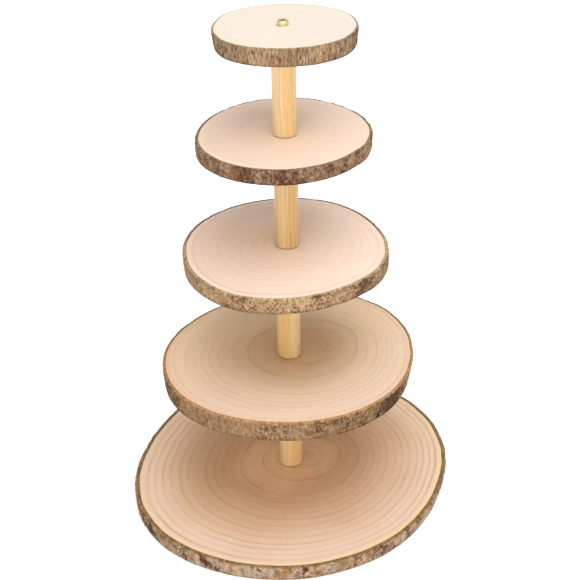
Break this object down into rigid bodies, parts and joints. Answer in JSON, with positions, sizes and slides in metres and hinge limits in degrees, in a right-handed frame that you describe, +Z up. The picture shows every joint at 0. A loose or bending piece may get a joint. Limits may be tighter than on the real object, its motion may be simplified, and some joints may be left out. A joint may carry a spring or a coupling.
{
  "type": "cake stand",
  "caption": "Tiered cake and cupcake stand of live-edge wood slices with bark, threaded on a line of turned wooden posts and held by a brass top screw.",
  "frame": {"origin": "on the line of the posts, at the surface that the stand rests on", "axes": "+Z up along the posts; -Y the side that the stand is seen from; +X to the right of that view"},
  "size_m": [0.3052, 0.3427, 0.4692],
  "materials": {
    "slice_wood": "sanded end grain with growth rings, thin clear coat",
    "slice_wood_pale": "sanded pale end grain with hardly visible rings",
    "bark": "rough matt natural bark",
    "post_wood": "turned pine with long grain, thin clear coat",
    "brass": "bright plated",
    "zinc_steel": "zinc plated"
  },
  "bodies": {
    "stand": {"tier_1_slab": "slice_wood", "tier_1_bark": "bark", "post_1": "post_wood", "post_1_lower_insert": "brass", "post_1_upper_insert": "brass", "post_2": "post_wood", "post_2_lower_insert": "brass", "post_2_upper_insert": "brass", "post_3": "post_wood", "post_3_lower_insert": "brass", "post_3_upper_insert": "brass", "post_4": "post_wood", "post_4_lower_insert": "brass", "post_4_upper_insert": "brass", "stud_2": "zinc_steel", "stud_3": "zinc_steel", "stud_4": "zinc_steel", "bottom_screw": "zinc_steel", "bottom_washer": "zinc_steel"},
    "tier_2": {"tier_2_slab": "slice_wood", "tier_2_bark": "bark"},
    "tier_3": {"tier_3_slab": "slice_wood", "tier_3_bark": "bark"},
    "tier_4": {"tier_4_slab": "slice_wood", "tier_4_bark": "bark"},
    "tier_5": {"tier_5_slab": "slice_wood_pale", "tier_5_bark": "bark"},
    "top_washer": {"top_washer": "brass"},
    "top_screw": {"top_screw": "brass"}
  },
  "joints": [
    {"name": "tier_2_swivel", "type": "hinge", "parent": "stand", "child": "tier_2", "pos_m": [0, 0, 0.1288], "axis": [0, 0, 1], "continuous": true},
    {"name": "tier_3_swivel", "type": "hinge", "parent": "stand", "child": "tier_3", "pos_m": [0, 0, 0.24675], "axis": [0, 0, 1], "continuous": true},
    {"name": "tier_4_swivel", "type": "hinge", "parent": "stand", "child": "tier_4", "pos_m": [0, 0, 0.35625], "axis": [0, 0, 1], "continuous": true},
    {"name": "tier_5_swivel", "type": "hinge", "parent": "stand", "child": "tier_5", "pos_m": [0, 0, 0.45615], "axis": [0, 0, 1], "continuous": true},
    {"name": "top_screw_lift", "type": "slide", "parent": "stand", "child": "top_washer", "axis": [0, 0, 1], "range_m": [0, 0.011]},
    {"name": "top_screw_turn", "type": "hinge", "parent": "top_washer", "child": "top_screw", "pos_m": [0, 0, 0.4659], "axis": [0, 0, 1], "range_deg": [0, 4980]}
  ],
  "couplings": [
    {"joint": "top_screw_turn", "follows": "top_screw_lift", "rad_per_m": 7854}
  ]
}
